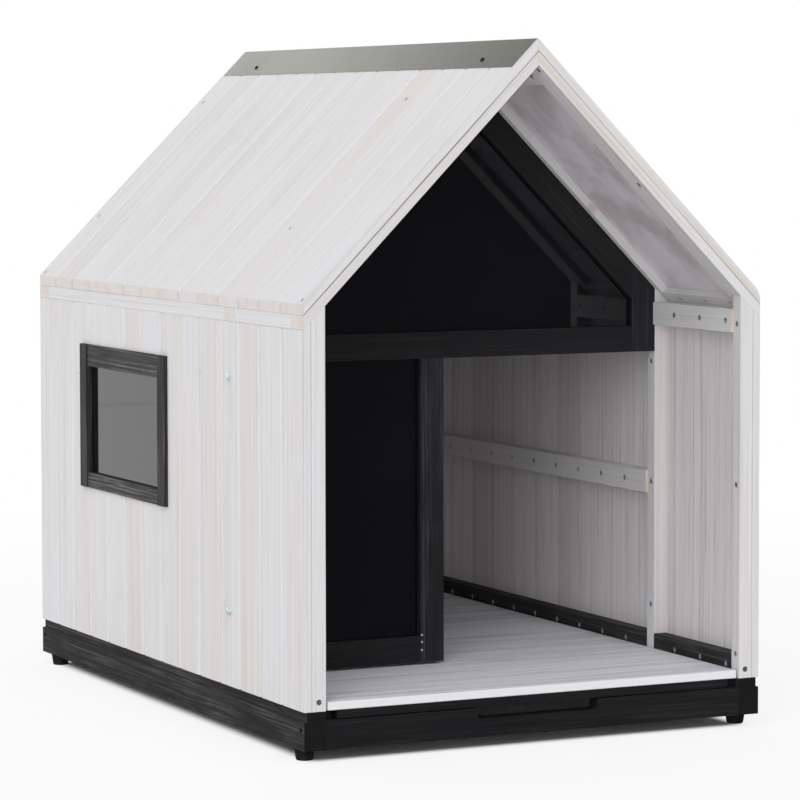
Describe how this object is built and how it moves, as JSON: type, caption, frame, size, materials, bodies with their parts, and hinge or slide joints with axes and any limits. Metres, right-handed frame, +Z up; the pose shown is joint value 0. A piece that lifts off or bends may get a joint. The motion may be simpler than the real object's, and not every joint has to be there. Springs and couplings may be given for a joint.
{
  "type": "dog house",
  "caption": "Gabled timber dog house with an open porch, a recessed front wall with dark panes and a doorway, a side window and a floor that slides out.",
  "frame": {"origin": "on the ground at the middle of the plan", "axes": "+X to the right seen from the front, +Y from the open front to the back, +Z up"},
  "size_m": [0.74, 1.05, 1.001],
  "materials": {
    "whitewashed_boards": "whitewashed grain, matt",
    "whitewashed_roof": "whitewashed grain, matt",
    "whitewashed_frame": "whitewashed grain, matt",
    "black_timber": "black stain with open grain, satin",
    "whitewashed_floor": "whitewashed grain, matt",
    "dark_pane": "near-black, polished",
    "ceiling_lining": "smooth, light grey",
    "grey_cap": "grey, satin",
    "zinc_screws": "zinc plated",
    "dark_screws": "dark coated",
    "foot_plastic": "moulded"
  },
  "bodies": {
    "house": {"wall_boards_left": "whitewashed_boards", "wall_boards_right": "whitewashed_boards", "wall_boards_back": "whitewashed_boards", "roof_boards_left": "whitewashed_roof", "roof_boards_right": "whitewashed_roof", "front_post_left": "whitewashed_frame", "front_post_right": "whitewashed_frame", "middle_post_left": "whitewashed_frame", "middle_post_right": "whitewashed_frame", "rear_post_left": "whitewashed_frame", "rear_post_right": "whitewashed_frame", "top_rails_left": "whitewashed_frame", "top_rails_right": "whitewashed_frame", "middle_rail_left": "whitewashed_frame", "middle_rail_right": "whitewashed_frame", "back_rails": "whitewashed_frame", "front_rafter_left": "whitewashed_frame", "front_rafter_right": "whitewashed_frame", "middle_rafter_left": "whitewashed_frame", "middle_rafter_right": "whitewashed_frame", "rear_rafter_left": "whitewashed_frame", "rear_rafter_right": "whitewashed_frame", "eave_battens_left": "whitewashed_frame", "eave_battens_right": "whitewashed_frame", "ridge_battens": "whitewashed_frame", "side_beam_left": "black_timber", "side_beam_right": "black_timber", "front_beam": "black_timber", "middle_beam": "black_timber", "back_beam": "black_timber", "floor_ledgers": "black_timber", "bottom_rails": "black_timber", "back_bottom_rail": "black_timber", "front_wall_stile_left": "black_timber", "front_wall_stile_right": "black_timber", "front_wall_chord_left": "black_timber", "front_wall_chord_right": "black_timber", "front_wall_crossbeam": "black_timber", "front_wall_door_post": "black_timber", "front_wall_bottom_rail": "black_timber", "window_stiles": "black_timber", "window_rails": "black_timber", "front_wall_gable_pane": "dark_pane", "front_wall_lower_pane": "dark_pane", "window_pane": "dark_pane", "ceiling_panels_left": "ceiling_lining", "ceiling_panels_right": "ceiling_lining", "ridge_cap": "grey_cap", "rail_screws": "zinc_screws", "post_screws": "zinc_screws", "roof_screws": "zinc_screws", "wall_bolts": "zinc_screws", "washers": "zinc_screws", "base_screws": "zinc_screws", "cap_screws": "dark_screws", "feet": "foot_plastic"},
    "floor_panel": {"floor_boards": "whitewashed_floor", "floor_cleats": "black_timber", "floor_runners": "black_timber", "floor_screws": "zinc_screws"}
  },
  "joints": [
    {"name": "floor_slide", "type": "slide", "parent": "house", "child": "floor_panel", "axis": [0, -1, 0], "range_m": [0, 0.5]}
  ]
}
